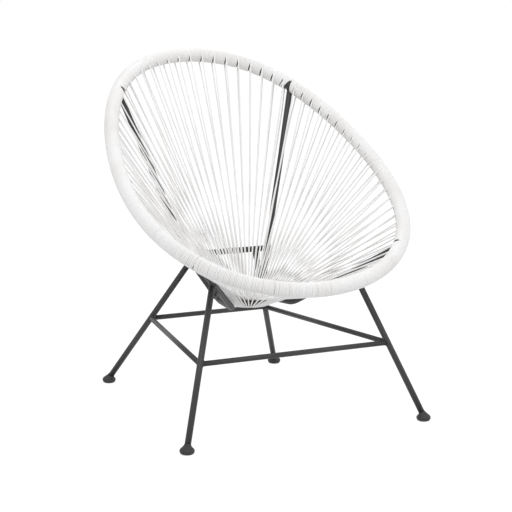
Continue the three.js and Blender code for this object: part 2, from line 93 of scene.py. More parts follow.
class HoopSizes(PropertyGroup):
    """The seat's hoop, a flat egg with its wide end to the front, tilted back."""

    half_width: metres("Half Width", "Half the width at the sides", 0.332)
    front_swell: metres("Front Swell", "How much wider the front is", 0.096)
    end_swell: metres("End Swell", "How much fuller both ends are", 0.0565)
    half_length: metres("Half Length", "Half the length, front to back", 0.4485)
    side_rise: metres("Side Rise", "How far back the widest place lies", 0.077)
    tilt: degrees("Tilt", "Lean of the hoop's plane", 33.33)
    centre_height: metres("Centre Height", "Height of the hoop's middle", 0.6088)
    tube_diameter: metres("Tube Diameter", "Steel tube of the hoop", 0.028)
    front_joint: degrees("Front Joint", "Turn at which a side tube meets the hoop's front", 37.0)
    rear_joint: degrees("Rear Joint", "Turn at which a side tube meets the hoop's back", 124.25)


class LacingSizes(PropertyGroup):
    """The cord, its winding and the lower ring that it is laced to."""

    cord_diameter: metres("Cord Diameter", "Diameter of the cord", 0.0038)
    loop_pitch: metres("Loop Pitch", "Spacing of the laced loops along the hoop", 0.0344)
    turns_a_loop: IntProperty(
        name="Turns a Loop", description="Turns of the winding for each laced loop", default=10,
        min=4)
    ring_radius: metres("Ring Radius", "Lower ring, to its tube's middle", 0.047)
    ring_height: metres("Ring Height", "Height of the lower ring", 0.267)
    ring_tube_diameter: metres("Ring Tube", "Tube of the lower ring", 0.014)
    gap: metres("Gap", "Gap between cord and steel", 0.0003)
    unevenness: metres("Unevenness", "How far a strand strays from straight", 0.0010)
    loose_turns: metres("Loose Turns", "Widest opening between turns beside a loop", 0.0011)
    turn_drift: metres("Turn Drift", "How far the turns stray along the hoop", 0.00008)


class FrameSizes(PropertyGroup):
    """The tubes of the base and its feet."""

    tube_diameter: metres("Tube Diameter", "Side tubes, crossbar and legs", 0.015)
    stretcher_diameter: metres("Stretcher Diameter", "Rods between the legs", 0.0127)
    front_bend: spot(
        "Front Bend", "Corner of a side tube below the front", (0.0828, -0.0765, 0.2676))
    rear_bend: spot("Rear Bend", "Corner of a side tube beside the ring", (0.061, 0.0496, 0.262))
    climb_bend: spot(
        "Climb Bend", "Corner of a side tube near the crossbar", (0.1077, 0.1197, 0.3564))
    bow: spot("Bow", "Corner of a side tube behind the back", (0.1875, 0.1957, 0.6))
    tight_bend: metres("Tight Bend", "Radius of the lower bends", 0.04)
    easy_bend: metres("Easy Bend", "Radius of the bend at the crossbar", 0.2)
    bow_bend: metres("Bow Bend", "Radius of the bend behind the back", 0.42)
    crossing_height: metres(
        "Crossing Height", "Height at which a side tube passes the crossbar", 0.373)
    crossbar_overhang: metres("Crossbar Overhang", "Crossbar past each side tube's axis", 0.009)
    leg_top_share: FloatProperty(
        name="Leg Top Share", description="Place of a front leg's top along its side tube",
        default=0.43, subtype="FACTOR")
    rear_leg_top: metres("Rear Leg Top", "Place of a rear leg's top along the crossbar", 0.084)
    front_foot: spot("Front Foot", "A front leg's lower end", (0.3146, -0.3257, 0.0115))
    rear_foot: spot("Rear Foot", "A rear leg's lower end", (0.2452, 0.3413, 0.0115))
    stretcher_height: metres("Stretcher Height", "Height of the rods between the legs", 0.1868)
    foot_radius: metres("Foot Radius", "Widest radius of a glide", 0.0175)
    foot_rim_height: metres("Foot Rim Height", "Height of a glide's widest place", 0.0082)
    foot_height: metres("Foot Height", "Height of a glide", 0.0206)
    weld_radius: metres("Weld Radius", "Half the width of a weld bead", 0.0017)


class JointSizes(PropertyGroup):
    """The plates and bolts of the front joints, and the crossbar's bolts."""

    plate_thickness: metres("Plate Thickness", "Thickness of a joint plate", 0.003)
    plate_reach: metres("Plate Reach", "Length of a plate along the side tube", 0.046)
    plate_drop: metres("Plate Drop", "Length of a plate down the leg", 0.027)
    corner_radius: metres("Corner Radius", "Rounding of a plate's corners", 0.005)
    bolt_along: metres("Bolt Along", "Bolt's place along the side tube", 0.0295)
    bolt_below: metres("Bolt Below", "Bolt's place below the side tube", 0.016)
    bolt_diameter: metres("Bolt Diameter", "Shank of a bolt", 0.006)
    head_diameter: metres("Head Diameter", "Head of a bolt", 0.011)
    head_height: metres("Head Height", "Height of a bolt's head", 0.0036)
    nut_width: metres("Nut Width", "Nut across its flats", 0.01)
    nut_height: metres("Nut Height", "Height of a nut", 0.005)
    tail: metres("Bolt Tail", "Bolt past its nut", 0.002)


class FinishColours(PropertyGroup):
    """Colours of the cord, the powder coat, the glides and the bolts."""

    cord: tint("Cord", "White plastic cord", (0.818, 0.815, 0.812))
    # The darker, warmer second cord colour is painted shade: it stands for light bouncing between
    # the strands, and is laid in random patches over the cord.
    cord_painted_shade: tint("Cord Shade", "Slightly yellowed cord", (0.755, 0.742, 0.725))
    coat: tint("Coat", "Charcoal powder coat", (0.0195, 0.0195, 0.0207))
    coat_light: tint("Coat Light", "Paler grains of the coat", (0.0325, 0.032, 0.0335))
    glide: tint("Glide", "Black moulded glide", (0.022, 0.022, 0.023))
    bolt: tint("Bolt", "Dark plated steel", (0.06, 0.06, 0.063))


class StageSettings(PropertyGroup):
    """The camera, the floor and the light of the surroundings."""

    camera_place: spot("Camera", "Place of the camera", (-1.71735, -3.50604, 1.09074))
    azimuth: degrees("Azimuth", "Turn of the camera round the chair", -26.344)
    elevation: degrees("Elevation", "How far the camera looks down", 10.351)
    roll: degrees("Roll", "Roll of the camera", 0.232)
    lens: FloatProperty(name="Lens", description="Focal length", default=112.15, unit="CAMERA")
    floor_size: metres("Floor Size", "Side of the floor", 60.0)
    world_level: FloatProperty(
        name="World Level", description="Light of the surroundings", default=0.80)


class ChairSettings(PropertyGroup):
    """All the settings of the chair."""

    hoop: PointerProperty(type=HoopSizes)
    lacing: PointerProperty(type=LacingSizes)
    frame: PointerProperty(type=FrameSizes)
    joints: PointerProperty(type=JointSizes)
    colours: PointerProperty(type=FinishColours)
    stage: PointerProperty(type=StageSettings)


def settings():
    """The chair's settings on the current scene."""
    return bpy.context.scene.chair


# Shapes as surfaces
ARC_STEP = math.radians(4.0)
ROD_SIDES = 40
BEAD_POINTS = 72
BEAD_SIDES = 10
# Waves round a bead, their height, and how far the seed shifts them
RIPPLES = ((17.0, 0.10, 1.0), (29.0, 0.07, 2.3))


def unit(vectors):
    """Each vector divided by its own length."""
    return vectors / np.linalg.norm(vectors, axis=-1, keepdims=True)


def crosswise(vectors, axis):
    """Vectors less their part along a unit axis."""
    return vectors - axis * np.sum(vectors * axis, axis=-1, keepdims=True)


def circle(count):
    """Angles spaced evenly round a circle."""
    return 2.0 * np.pi * np.arange(count) / count


def spokes(axis, sides):
    """Unit vectors round an axis: a first normal * cos + a second normal * sin."""
    other = UP if abs(axis[2]) < 0.9 else np.array([1.0, 0.0, 0.0])
    first = unit(np.cross(axis, other))
    turn = circle(sides)[:, None]
    return first * np.cos(turn) + np.cross(axis, first) * np.sin(turn)


def mirrored(points, sign):
    """Points with x multiplied by the side's sign."""
    return np.asarray(points) * np.array([sign, 1.0, 1.0])


def carried(path, reference, round_half, out_half, sides, closed=False):
    """Rows of an oval section carried along a path.

    The tangent is the sum of the directions to and from a point. The first axis of
    the section is the reference less its part along the tangent, the second is the
    tangent crossed with the first, and a point is path + first * round_half * cos +
    second * out_half * sin.
    """
    if closed:
        leaving = unit(np.roll(path, -1, axis=0) - path)
        arriving = np.roll(leaving, 1, axis=0)
    else:
        step = unit(np.diff(path, axis=0))
        leaving = np.concatenate([step, step[-1:]])
        arriving = np.concatenate([step[:1], step])
    tangent = unit(arriving + leaving)
    first = unit(crosswise(reference, tangent))
    second = np.cross(tangent, first)
    turn = circle(sides)[None, :, None]
    wide = np.broadcast_to(round_half, len(path))[:, None, None]
    thick = np.broadcast_to(out_half, len(path))[:, None, None]
    return (path[:, None] + first[:, None] * wide * np.cos(turn)
            + second[:, None] * thick * np.sin(turn))


def turned(origin, axis, radii, heights, sides):
    """Rows of a profile turned about an axis.

    A point is origin + axis * height + spoke * radius. A row's radius is one number,
    or one for each spoke.
    """
    along = axis * np.asarray(heights)[:, None, None]
    outward = spokes(axis, sides) * np.asarray(radii).reshape(len(radii), -1, 1)
    return origin + along + outward


def rod(start, end, radius, rounding=0.0):
    """Rows of a straight round rod, with rims that may be quarter circles."""
    reach = np.linalg.norm(end - start)
    turn = np.radians([0.0, 30.0, 60.0, 90.0] if rounding else [90.0])
    inset = rounding * (1.0 - np.cos(turn))
    shrink = rounding * (1.0 - np.sin(turn))
    heights = np.concatenate([inset, reach - inset[::-1]])
    radii = radius - np.concatenate([shrink, shrink[::-1]])
    return turned(start, (end - start) / reach, radii, heights, ROD_SIDES)


def bent_path(corners, radii):
    """A path of straight runs joined by arcs.

    Each arc starts radius * tan(half turn) before its corner, and its points are
    centre - inward * radius * cos + arriving * radius * sin.
    """
    path = [corners[:1]]
    for before, corner, after, radius in zip(corners, corners[1:], corners[2:], radii):
        arriving = unit(corner - before)
        leaving = unit(after - corner)
        turn = math.acos(float(arriving @ leaving))
        inward = unit(crosswise(leaving, arriving))
        start = corner - arriving * radius * math.tan(turn / 2)
        centre = start + inward * radius
        angle = np.linspace(0.0, turn, max(3, int(turn / ARC_STEP) + 2))[:, None]
        path.append(centre - inward * radius * np.cos(angle) + arriving * radius * np.sin(angle))
    path.append(corners[-1:])
    return np.concatenate(path)


def refined(path, step):
    """A path whose spans are cut into equal parts no longer than a step."""
    span = np.linalg.norm(np.diff(path, axis=0), axis=1)
    parts = np.ceil(span / step).astype(int)
    whole = np.arange(len(path))
    within = np.concatenate([np.arange(count) / count for count in parts])
    places = np.append(np.repeat(whole[:-1], parts) + within, whole[-1])
    return np.stack([np.interp(places, whole, path[:, k]) for k in range(3)], axis=1)


def weld_bead(end, into, radius, other_axis, other_radius, seed):
    """Rows of a bead along the line where one round rod meets another.

    The rod's outline runs back from its end until its distance from the other rod's
    axis is that rod's radius, which is the larger root of a quadratic. The bead's
    half-width ripples with the angle by two sines.
    """
    into, other_axis = unit(into), unit(other_axis)
    outline = spokes(into, BEAD_POINTS)
    offset = outline * radius
    flat = crosswise(offset, other_axis)
    back = -crosswise(into, other_axis)
    a = back @ back
    b = flat @ back
    c = np.sum(flat * flat, axis=1) - other_radius ** 2
    reach = (np.sqrt(np.clip(b * b - a * c, 0.0, None)) - b) / a
    path = end + offset - into * reach[:, None]
    angle = circle(BEAD_POINTS)
    ripple = sum(height * np.sin(waves * angle + shift * seed)
                 for waves, height, shift in RIPPLES)
    half = settings().frame.weld_radius * (1.0 + ripple)
    return carried(path, outline, half, half, BEAD_SIDES, closed=True)


def skin_parts(rows, closed, start):
    """Vertices, loops, face sizes and UVs of a skin over rows of points.

    A face joins points k and k + 1 of one row to the same points of the next row.
    Open rows get a cap of one face at each end. U runs round the section and V along
    the rows, both in metres.
    """
    count, sides = rows.shape[:2]
    spans = count if closed else count - 1
    i, k = np.meshgrid(np.arange(spans), np.arange(sides), indexing="ij")
    after = (i + 1) % count * sides
    around = (k + 1) % sides
    row = i * sides
    quads = np.stack([row + k, row + around, after + around, after + k], axis=-1)
    step = np.linalg.norm(np.diff(rows.mean(axis=1), axis=0), axis=1)
    along = np.concatenate([[0.0], np.cumsum(step), [step.sum() + step.mean()]])
    girth = np.linalg.norm(rows[0, 1] - rows[0, 0]) * sides
    u = np.stack([k, k + 1, k + 1, k], axis=-1) / sides * girth
    v = np.stack([along[i], along[i], along[i + 1], along[i + 1]], axis=-1)
    loops, sizes = quads.ravel(), np.full(spans * sides, 4)
    uvs = np.stack([u, v], axis=-1).reshape(-1, 2)
    if not closed:
        cap = np.arange(sides)
        loops = np.concatenate([loops, cap[::-1], (count - 1) * sides + cap])
        sizes = np.append(sizes, [sides, sides])
        uvs = np.concatenate([uvs, np.zeros((2 * sides, 2))])
    return rows.reshape(-1, 3), loops + start, sizes, uvs


def new_object(name, data):
    """A new object in the scene, at the origin."""
    item = bpy.data.objects.new(name, data)
    bpy.context.scene.collection.objects.link(item)
    return item


def lay_mesh(name, skins, finish, nodes):
    """One piece from several skins, each given as (rows, closed), in place of its nodes."""
    parts, start = [], 0
    for rows, closed in skins:
        parts.append(skin_parts(rows, closed, start))
        start += rows.shape[0] * rows.shape[1]
    points, loops, sizes, uvs = (np.concatenate(kind) for kind in zip(*parts))
    mesh = bpy.data.meshes.new(name)
    mesh.vertices.add(len(points))
    mesh.vertices.foreach_set("co", points.astype(np.float32).ravel())
    mesh.loops.add(len(loops))
    mesh.loops.foreach_set("vertex_index", loops.astype(np.int32))
    mesh.polygons.add(len(sizes))
    mesh.polygons.foreach_set("loop_start", (np.cumsum(sizes) - sizes).astype(np.int32))
    mesh.polygons.foreach_set("use_smooth", sizes == 4)
    layer = mesh.uv_layers.new(name="UVMap")
    layer.data.foreach_set("uv", uvs.astype(np.float32).ravel())
    mesh.update(calc_edges=True)
    mesh.validate()
    mesh.materials.append(finish)
    piece = new_object(name, mesh)
    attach(piece, "root")
    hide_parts(*nodes)


# The hoop and the lacing's route

# Points along the hoop, in one turn, in a loop's arc and in a strand
HOOP_POINTS = 2881
TURN_POINTS = 26
ARC_POINTS = 14
STRAND_POINTS = 9
CORD_SIDES = 8
# Lengths in turns of the winding, then the parting's in half gaps, and its power
DRIFT_LENGTHS = (2.3, 3.7, 6.1)
SLACK_REACH = 1.5
END_MARGIN = 0.3
TURN_HALF_WIDTH = 0.51
PARTING_REACH = 5.0
PARTING_POWER = 1.5


def hoop_point(turn):
    """Points of the hoop's centre-line.

    Across is sin * (half width + front swell * cos + end swell * cos squared), along
    is side rise * sin squared - half length * cos, and the plane is tilted back.
    """
    s = settings().hoop
    c, n = np.cos(turn), np.sin(turn)
    across = n * (s.half_width + s.front_swell * c + s.end_swell * c * c)
    along = s.side_rise * n * n - s.half_length * c
    return np.stack(
        [across, along * math.cos(s.tilt), s.centre_height + along * math.sin(s.tilt)], axis=-1)


def ring_point(angle):
    """Points of the lower ring's centre-line, at angles from its front."""
    s = settings().lacing
    return np.stack([s.ring_radius * np.sin(angle), -s.ring_radius * np.cos(angle),
                     np.full_like(angle, s.ring_height)], axis=-1)


class HoopLine:
    """The hoop's centre-line by distance from the front middle, and its sectors.

    Marks are the distances of the side tubes' joints, loops the numbers of laced
    loops between two marks, and counts the loops from the front middle to each mark.
    """

    def __init__(self):
        s = settings()
        self.turn = np.linspace(0.0, 2.0 * np.pi, HOOP_POINTS)
        step = np.linalg.norm(np.diff(hoop_point(self.turn), axis=0), axis=1)
        self.distance = np.concatenate([[0.0], np.cumsum(step)])
        self.length = self.distance[-1]
        front, rear = np.interp([s.hoop.front_joint, s.hoop.rear_joint], self.turn, self.distance)
        self.marks = np.array([-front, front, rear, self.length - rear, self.length - front])
        self.loops = np.round(np.diff(self.marks) / s.lacing.loop_pitch).astype(int)
        self.counts = np.concatenate([[0], np.cumsum(self.loops)]) - self.loops[0] / 2

    def point(self, distance):
        """Points at distances along the hoop."""
        return hoop_point(np.interp(np.mod(distance, self.length), self.distance, self.turn))

    def travel(self, distance):
        """Directions along the hoop."""
        small = 0.0005
        return unit(self.point(distance + small) - self.point(distance - small))

    def ring_angle(self, distance):
        """The angle round the lower ring that a place on the hoop is laced to."""
        count = np.interp(distance, self.marks, self.counts)
        return 2.0 * np.pi * count / self.loops.sum()

    def section(self, distance):
        """Centre, travel, the way to the ring and the way up out of the seat."""
        centre = self.point(distance)
        travel = self.travel(distance)
        inward = unit(crosswise(ring_point(self.ring_angle(distance)) - centre, travel))
        return centre, travel, inward, np.cross(inward, travel)


def wound_at(line, distance, angle, radius, joints, slack, waves):
    """Points of the winding and the direction of travel there.

    A point is centre + radius * (inward * cos + upward * sin). Near a joint the
    winding parts round the side tube: the distance is shifted away from the joint,
    most where the angle faces the tube, and the shift dies out with the distance.
    Beside each laced loop the outer side opens by that loop's slack in the same way,
    and a few sines of the distance let the turns drift.
    """
    places, openings, reach = slack
    away = distance[:, None] - places
    outer = (0.5 - 0.5 * np.cos(angle))[:, None]
    shift = np.sum(np.sign(away) * openings / 2 * outer * np.exp(-np.abs(away) / reach), axis=1)
    for length, height, phase in waves:
        shift += height * np.sin(2.0 * np.pi * distance / length + phase)
    for place, facing, half in joints:
        away = distance - place
        toward = 0.5 + 0.5 * np.cos(angle - facing)
        fade = np.clip(1.0 - np.abs(away) / (PARTING_REACH * half), 0.0, None)
        shift += np.sign(away) * half * toward ** PARTING_POWER * fade
    centre, travel, inward, upward = line.section(distance + shift)
    spoke = inward * np.cos(angle)[:, None] + upward * np.sin(angle)[:, None]
    return centre + radius * spoke, travel


def loop_route(line, place, half_step, depart_radius, rng):
    """One laced loop: down from the hoop, round the lower ring and back up.

    The ring's part is an arc about the ring tube's middle, from the point where the
    line from the hoop touches it to the point where the line back leaves it. The
    straight parts stray sideways and up or down by half sines of random heights.
    """
    s = settings().lacing
    radius = s.ring_tube_diameter / 2 + s.gap + s.cord_diameter / 2
    centre, travel, _, upward = line.section(np.array([place - half_step, place + half_step]))
    top = centre[0] + depart_radius * upward[0]
    bottom = centre[1] - depart_radius * upward[1]
    angle = line.ring_angle(place)
    outward = np.array([math.sin(angle), -math.cos(angle), 0.0])
    sideways = np.array([math.cos(angle), math.sin(angle), 0.0])
    core = ring_point(angle)

    def touch(point, face):
        flat = float((point - core) @ outward)
        rise = float(point[2] - core[2])
        return math.atan2(rise, flat) + face * math.acos(radius / math.hypot(flat, rise))

    start = touch(top, 1.0)
    end = touch(bottom, -1.0) + 2.0 * math.pi
    turn = np.linspace(start, end, ARC_POINTS)[:, None]
    arc = core + radius * (outward * np.cos(turn) + UP * np.sin(turn))
    part = np.linspace(0.0, 1.0, STRAND_POINTS)[1:-1, None]

    def strand(a, b):
        stray = s.unevenness * (sideways * rng.normal() + UP * rng.normal())
        return a + (b - a) * part + stray * np.sin(np.pi * part)

    route = np.concatenate([strand(top, arc[0]), arc, strand(arc[-1], bottom)])
    mix = np.concatenate([part, np.ones((ARC_POINTS, 1)), part[::-1]])
    return route, unit(travel[:1] * (1.0 - mix) + sideways * mix)


def sector_cord(line, number, rng):
    """The whole cord of one sector: its winding and its laced loops, in one route."""
    s = settings()
    start, end = line.marks[number:number + 2]
    loops = line.loops[number]
    pitch = (end - start) / loops
    turn_pitch = pitch / s.lacing.turns_a_loop
    half_step = turn_pitch / 4
    cord_half = s.lacing.cord_diameter / 2
    radius = s.hoop.tube_diameter / 2 + s.lacing.gap + cord_half
    half_gap = s.frame.tube_diameter / 2 + cord_half + s.lacing.gap
    joints = [(place, joint_facing(line, place), half_gap) for place in (start, end)]
    places = start + pitch * (np.arange(loops) + 0.5)
    openings = s.lacing.loose_turns * rng.random(loops) ** 2
    slack = (places, openings, SLACK_REACH * turn_pitch)
    waves = [(turn_pitch * length, s.lacing.turn_drift, 2.0 * np.pi * rng.random())
             for length in DRIFT_LENGTHS]
    quarter = np.pi / 2

    def wind(from_distance, to_distance, from_angle, turns):
        share = np.linspace(0.0, 1.0, int(round(turns * TURN_POINTS)) + 1)
        distance = from_distance + (to_distance - from_distance) * share
        angle = from_angle - 2.0 * np.pi * turns * share
        return wound_at(line, distance, angle, radius, joints, slack, waves)

    edge = END_MARGIN * turn_pitch
    lead_turns = (pitch / 2 - half_step - edge) / turn_pitch
    parts = [wind(start + edge, places[0] - half_step,
                  quarter + 2.0 * np.pi * lead_turns, lead_turns)]
    for place in places:
        last = place == places[-1]
        until = end - edge if last else place + pitch - half_step
        turns = lead_turns if last else s.lacing.turns_a_loop - 0.5
        parts.append(loop_route(line, place, half_step, radius, rng))
        parts.append(wind(place + half_step, until, -quarter, turns))
    path, reference = (np.concatenate(kind) for kind in zip(*parts))
    room = np.pi * np.hypot(path[:, 0], path[:, 1]) / line.loops.sum()
    on_hoop = np.repeat(np.arange(len(parts)) % 2 == 0, [len(route) for route, _ in parts])
    on_turns = min(cord_half, turn_pitch * TURN_HALF_WIDTH)
    wide = np.where(on_hoop, on_turns, np.minimum(cord_half, room))
    return carried(path, reference, wide, cord_half, CORD_SIDES)


# Places of the base
def side_tube_path(sign):
    """The centre-line of one side tube, from the hoop's front to its back."""
    s = settings()
    f = s.frame
    front, rear = hoop_point(np.array([s.hoop.front_joint, s.hoop.rear_joint]))
    corners = np.array([front, f.front_bend, f.rear_bend, f.climb_bend, f.bow, rear])
    path = bent_path(corners, [f.tight_bend, f.tight_bend, f.easy_bend, f.bow_bend])
    return mirrored(path, sign)


def joint_facing(line, distance):
    """The angle round the hoop's section at which a side tube leaves it."""
    path = side_tube_path(1.0)
    centre, _, inward, upward = line.section(np.array([distance]))
    ends = mirrored([path[:2], path[:-3:-1]], math.copysign(1.0, centre[0, 0]))
    near, after = ends[np.argmin(np.linalg.norm(ends[:, 0] - centre, axis=1))]
    return math.atan2(float((after - near) @ upward[0]), float((after - near) @ inward[0]))


def crossing_point():
    """Where the left side tube passes the crossbar, the crossbar's middle, and the way back."""
    f = settings().frame
    path = side_tube_path(1.0)
    low, high = path[:-1, 2], path[1:, 2]
    span = np.argmax((low < f.crossing_height) & (f.crossing_height <= high))
    climb = path[span + 1] - path[span]
    crossing = path[span] + climb * (f.crossing_height - low[span]) / climb[2]
    backward = unit(np.array([0.0, climb[2], -climb[1]]))
    reach = f.tube_diameter + settings().lacing.gap
    return crossing, mirrored(crossing, 0.0) + backward * reach, backward


def leg_ends():
    """Each leg's name with its lower and upper end."""
    f = settings().frame
    start = hoop_point(settings().hoop.front_joint)
    front_top = start + (np.array(f.front_bend) - start) * f.leg_top_share
    rear_top = crossing_point()[1] + np.array([f.rear_leg_top, 0.0, 0.0])
    ends = {}
    for side, sign in SIDES.items():
        ends[f"front_leg_{side}"] = mirrored([f.front_foot, front_top], sign)
        ends[f"rear_leg_{side}"] = mirrored([f.rear_foot, rear_top], sign)
    return ends


def at_height(ends, height):
    """The point of a leg's axis at a height."""
    share = (height - ends[0][2]) / (ends[1][2] - ends[0][2])
    return ends[0] + (ends[1] - ends[0]) * share


# Materials
def fill(node, values):
    """A node, with values for its inputs of those names."""
    for label, value in values.items():
        node.inputs[label].default_value = value
    return node


def add_node(tree, kind, values=None):
    """A new node of a tree, with values for its inputs."""
    return fill(tree.nodes.new(kind), values or {})


def wire(tree, *links):
    """Links in a tree, each given as a node, its output, a node and its input."""
    for source, output, target, label in links:
        tree.links.new(source.outputs[output], target.inputs[label])


def new_material(name, values):
    """A node material, its tree and its Principled shader, with values for its inputs."""
    material = bpy.data.materials.new(name)
    material.use_nodes = True
    tree = material.node_tree
    return material, tree, fill(tree.nodes["Principled BSDF"], values)


def surface_grain_group():
    """A node group for fine grain: a tone near 0.5 and a height, from object places."""
    name = "surface_grain"
    if name in bpy.data.node_groups:
        return bpy.data.node_groups[name]
    group = bpy.data.node_groups.new(name, "ShaderNodeTree")
    for label in ("Fine Scale", "Broad Scale", "Broad Share"):
        group.interface.new_socket(label, in_out="INPUT", socket_type="NodeSocketFloat")
    for label in ("Tone", "Height"):
        group.interface.new_socket(label, in_out="OUTPUT", socket_type="NodeSocketFloat")
    inputs = add_node(group, "NodeGroupInput")
    outputs = add_node(group, "NodeGroupOutput")
    place = add_node(group, "ShaderNodeTexCoord")
    fine = add_node(group, "ShaderNodeTexNoise", {"Detail": 3.0})
    broad = add_node(group, "ShaderNodeTexNoise", {"Detail": 4.0})
    mix = add_node(group, "ShaderNodeMix")
    mix.data_type = "FLOAT"
    wire(group, (place, "Object", fine, "Vector"), (place, "Object", broad, "Vector"),
         (inputs, "Fine Scale", fine, "Scale"), (inputs, "Broad Scale", broad, "Scale"),
         (inputs, "Broad Share", mix, "Factor"), (fine, "Fac", mix, "A"),
         (broad, "Fac", mix, "B"), (mix, "Result", outputs, "Tone"),
         (fine, "Fac", outputs, "Height"))
    return group


def grained(name, colours, tones, grain, roughness, bump, values):
    """A material whose colour, roughness and bump follow the grain group.

    The colours are a dark and a light one at the two tones. Grain holds the fine
    scale, the broad scale and the broad share, bump its distance and strength, and
    values what else the shader needs.
    """
    material, tree, shader = new_material(name, values)
    group = add_node(tree, "ShaderNodeGroup")
    group.node_tree = surface_grain_group()
    for socket, value in zip(group.inputs, grain):
        socket.default_value = value
    ramp = add_node(tree, "ShaderNodeValToRGB")
    for stop, tone, colour in zip(ramp.color_ramp.elements, tones, colours):
        stop.position = tone
        stop.color = (*colour, 1.0)
    rough = add_node(tree, "ShaderNodeMapRange", {
        "From Min": 0.3, "From Max": 0.7, "To Min": roughness[0], "To Max": roughness[1]})
    relief = add_node(tree, "ShaderNodeBump", {"Distance": bump[0], "Strength": bump[1]})
    wire(tree, (group, "Tone", ramp, "Fac"), (ramp, "Color", shader, "Base Color"),
         (group, "Tone", rough, "Value"), (rough, "Result", shader, "Roughness"),
         (group, "Height", relief, "Height"), (relief, "Normal", shader, "Normal"))
    return material, tree, shader, relief


def made(maker):
    """The material that a maker makes, which bears the maker's name."""
    name = maker.__name__
    return bpy.data.materials.get(name) or maker(name)


def white_cord(name):
    """White drawn plastic: soft gloss, faint lengthwise lines, and random patches of a darker,
    warmer colour that is painted shade for light bouncing between the strands.
    """
    c = settings().colours
    material, tree, shader, relief = grained(
        # The ramp's dark stop is painted shade for light bouncing between the strands, spread in
        # random patches by the grain.
        name, (c.cord_painted_shade, c.cord), tones=(0.30, 0.58), grain=(700.0, 11.0, 0.75),
        roughness=(0.42, 0.34), bump=(0.0002, 0.25),
        values={"Specular IOR Level": 0.45, "Sheen Weight": 0.05})
    place = add_node(tree, "ShaderNodeUVMap")
    place.uv_map = "UVMap"
    stretch = add_node(tree, "ShaderNodeMapping", {"Scale": (2200.0, 18.0, 1.0)})
    lines = add_node(tree, "ShaderNodeTexNoise", {"Scale": 1.0, "Detail": 2.0})
    drawn = add_node(tree, "ShaderNodeBump", {"Distance": 0.00012, "Strength": 0.35})
    wire(tree, (place, "UV", stretch, "Vector"), (stretch, "Vector", lines, "Vector"),
         (lines, "Fac", drawn, "Height"), (relief, "Normal", drawn, "Normal"),
         (drawn, "Normal", shader, "Normal"))
    return material


def charcoal_coat(name):
    """Charcoal powder coat with its fine orange-peel grain."""
    c = settings().colours
    return grained(
        name, (c.coat, c.coat_light), tones=(0.35, 0.68), grain=(1500.0, 14.0, 0.35),
        roughness=(0.40, 0.54), bump=(0.00035, 0.55), values={"Specular IOR Level": 0.5})[0]


def black_glide(name):
    """Black moulded plastic, matt and slightly mottled."""
    dark = np.array(settings().colours.glide)
    return grained(
        name, (dark, 1.5 * dark), tones=(0.35, 0.7), grain=(1100.0, 30.0, 0.5),
        roughness=(0.5, 0.62), bump=(0.0002, 0.4), values={"Specular IOR Level": 0.4})[0]


def dark_plating(name):
    """Dark plated steel, slightly patchy."""
    dark = np.array(settings().colours.bolt)
    return grained(
        name, (dark, 1.7 * dark), tones=(0.35, 0.7), grain=(1800.0, 90.0, 0.5),
        roughness=(0.30, 0.42), bump=(0.0001, 0.3), values={"Metallic": 0.75})[0]


# Pieces
HOOP_STEPS = 360
HOOP_SIDES = 32
LACING_SEED = 11
RING_STEPS = 96
RING_SIDES = 28
TUBE_SIDES = 36
TUBE_STEP = 0.02
CROSSBAR_ROUNDING = 0.0012


def lay_steel(name, skins, node):
    """One piece of coated steel in place of its node."""
    lay_mesh(name, skins, made(charcoal_coat), [node])


class CHAIR_OT_hoop(Operator):
    """Add the hoop's steel tube"""

    bl_idname = "chair.hoop"
    bl_label = "Add Hoop"

    def execute(self, context):
        s = settings().hoop
        normal = np.array([0.0, -math.sin(s.tilt), math.cos(s.tilt)])
        radius = s.tube_diameter / 2
        path = hoop_point(circle(HOOP_STEPS))
        rows = carried(path, normal, radius, radius, HOOP_SIDES, closed=True)
        lay_steel("hoop_tube", [(rows, True)], "hoop")
        return {"FINISHED"}


class CHAIR_OT_lacing(Operator):
    """Wind and lace the four sectors of cord"""

    bl_idname = "chair.lacing"
    bl_label = "Add Lacing"

    def execute(self, context):
        line = HoopLine()
        rng = np.random.default_rng(LACING_SEED)
        for number, (name, nodes) in enumerate(LACED):
            rows = sector_cord(line, number, rng)
            lay_mesh(name, [(rows, False)], made(white_cord), nodes)
        return {"FINISHED"}


class CHAIR_OT_lower_ring(Operator):
    """Add the lower ring"""

    bl_idname = "chair.lower_ring"
    bl_label = "Add Lower Ring"

    def execute(self, context):
        radius = settings().lacing.ring_tube_diameter / 2
        path = ring_point(circle(RING_STEPS))
        rows = carried(path, UP, radius, radius, RING_SIDES, closed=True)
        lay_steel("ring_tube", [(rows, True)], "lower_ring")
        return {"FINISHED"}


class CHAIR_OT_side_tubes(Operator):
    """Add the two bent side tubes with their welds"""

    bl_idname = "chair.side_tubes"
    bl_label = "Add Side Tubes"

    def execute(self, context):
        s = settings()
        radius = s.frame.tube_diameter / 2
        line = HoopLine()
        for side, sign in SIDES.items():
            path = refined(side_tube_path(sign), TUBE_STEP)
            # The direction in which the path spreads least
            flattest = np.linalg.svd(path - path.mean(axis=0), full_matrices=False)[2][2]
            skins = [(carried(path, flattest, radius, radius, TUBE_SIDES), False)]
            ends = ((path[0], path[1], line.marks[1]), (path[-1], path[-2], line.marks[2]))
            for end, beyond, place in ends:
                bead = weld_bead(end, end - beyond, radius, mirrored(line.travel(place), sign),
                                 s.hoop.tube_diameter / 2, seed=3.0 * sign)
                skins.append((bead, True))
            lay_steel(f"bent_tube_{side}", skins, f"side_tube_{side}")
        return {"FINISHED"}


class CHAIR_OT_crossbar(Operator):
    """Add the crossbar behind the side tubes"""

    bl_idname = "chair.crossbar"
    bl_label = "Add Crossbar"

    def execute(self, context):
        f = settings().frame
        crossing, middle, _ = crossing_point()
        half = np.array([crossing[0] + f.crossbar_overhang, 0.0, 0.0])
        rows = rod(middle - half, middle + half, f.tube_diameter / 2, CROSSBAR_ROUNDING)
        lay_steel("crossbar", [(rows, False)], "rear_crossbar")
        return {"FINISHED"}


